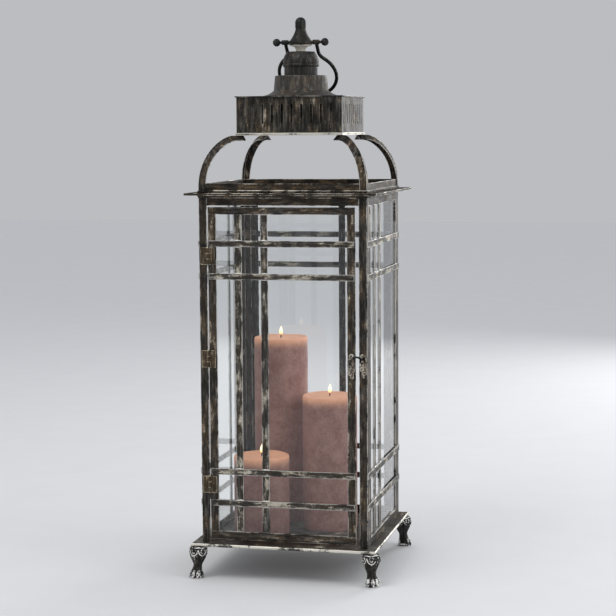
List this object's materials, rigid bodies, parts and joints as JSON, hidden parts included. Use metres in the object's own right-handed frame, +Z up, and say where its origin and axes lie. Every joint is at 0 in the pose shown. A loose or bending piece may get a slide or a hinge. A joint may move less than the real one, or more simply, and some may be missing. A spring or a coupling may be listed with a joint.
{
  "type": "candle lantern",
  "caption": "Tall square glazed metal lantern on claw feet, with hinged latched door, ribbed open roof, slotted crown, cupola, swinging bail and pillar candles",
  "frame": {"origin": "on the floor, under the centre of the square body", "axes": "+Z up, the door faces -Y, +X to the right of a person who faces the door"},
  "size_m": [0.3502, 0.3502, 0.9935],
  "materials": {
    "iron": "blackened, worn to bright grey and cream at the edges",
    "foot_iron": "blackened, rubbed bright on the high places",
    "fixing": "plain",
    "frame_iron": "blackened, worn",
    "strap_iron": "blackened, worn",
    "glass": "clear",
    "clip_tin": "dull",
    "hinge_brass": "aged",
    "latch_brass": "pale, worn",
    "hook_iron": "black",
    "roof_iron": "blackened, worn",
    "crown_iron": "blackened, worn",
    "cupola_iron": "matt dark grey",
    "bail_iron": "blackened, worn",
    "candle_wax": "mottled wax",
    "wick": "charred cotton"
  },
  "bodies": {
    "cage": {"base_plate": "iron", "post_front_left": "iron", "post_front_right": "iron", "post_back_right": "iron", "post_back_left": "iron", "rail_front": "iron", "rail_right": "iron", "rail_back": "iron", "rail_left": "iron", "foot_front_left": "foot_iron", "foot_front_right": "foot_iron", "foot_back_right": "foot_iron", "foot_back_left": "foot_iron", "foot_nuts": "fixing", "frame_right": "frame_iron", "frame_back": "frame_iron", "frame_left": "frame_iron", "uprights_right": "frame_iron", "uprights_back": "frame_iron", "uprights_left": "frame_iron", "straps_right": "strap_iron", "straps_back": "strap_iron", "straps_left": "strap_iron", "glass_right": "glass", "glass_back": "glass", "glass_left": "glass", "glass_clips": "clip_tin", "hinge_post_leaves": "hinge_brass", "hinge_pins": "hinge_brass", "latch_post_plate": "latch_brass", "roof_plate": "roof_iron", "roof_curb": "roof_iron", "rib_front_left": "roof_iron", "rib_front_right": "roof_iron", "rib_back_right": "roof_iron", "rib_back_left": "roof_iron", "crown_band": "crown_iron", "crown_bead": "crown_iron", "crown_plate": "crown_iron", "cupola_drum": "cupola_iron", "cupola_neck": "cupola_iron", "finial": "cupola_iron", "handle_rod": "bail_iron"},
    "door": {"door_frame": "frame_iron", "door_uprights": "frame_iron", "door_straps": "strap_iron", "door_glass": "glass", "door_clips": "clip_tin", "hinge_door_leaves": "hinge_brass", "latch_door_plate": "latch_brass", "latch_rivet": "latch_brass"},
    "latch": {"latch_hook": "hook_iron"},
    "bail": {"handle": "bail_iron"},
    "candle_tall": {"candle_tall": "candle_wax", "wick_tall": "wick"},
    "candle_medium": {"candle_medium": "candle_wax", "wick_medium": "wick"},
    "candle_small": {"candle_small": "candle_wax", "wick_small": "wick"}
  },
  "joints": [
    {"name": "door_hinge", "type": "hinge", "parent": "cage", "child": "door", "pos_m": [-0.13475, -0.1526, 0.392], "axis": [0, 0, -1], "range_deg": [0, 170]},
    {"name": "hook_pivot", "type": "hinge", "parent": "door", "child": "latch", "pos_m": [0.1198, -0.1528, 0.3835], "axis": [0, -1, 0], "range_deg": [0, 110]},
    {"name": "bail_swing", "type": "hinge", "parent": "cage", "child": "bail", "pos_m": [0, 0, 0.949], "axis": [1, 0, 0], "range_deg": [0, 270]},
    {"name": "candle_tall_lift", "type": "slide", "parent": "cage", "child": "candle_tall", "axis": [0, 0, 1], "range_m": [0, 0.12]},
    {"name": "candle_medium_lift", "type": "slide", "parent": "cage", "child": "candle_medium", "axis": [0, 0, 1], "range_m": [0, 0.12]},
    {"name": "candle_small_lift", "type": "slide", "parent": "cage", "child": "candle_small", "axis": [0, 0, 1], "range_m": [0, 0.12]}
  ]
}
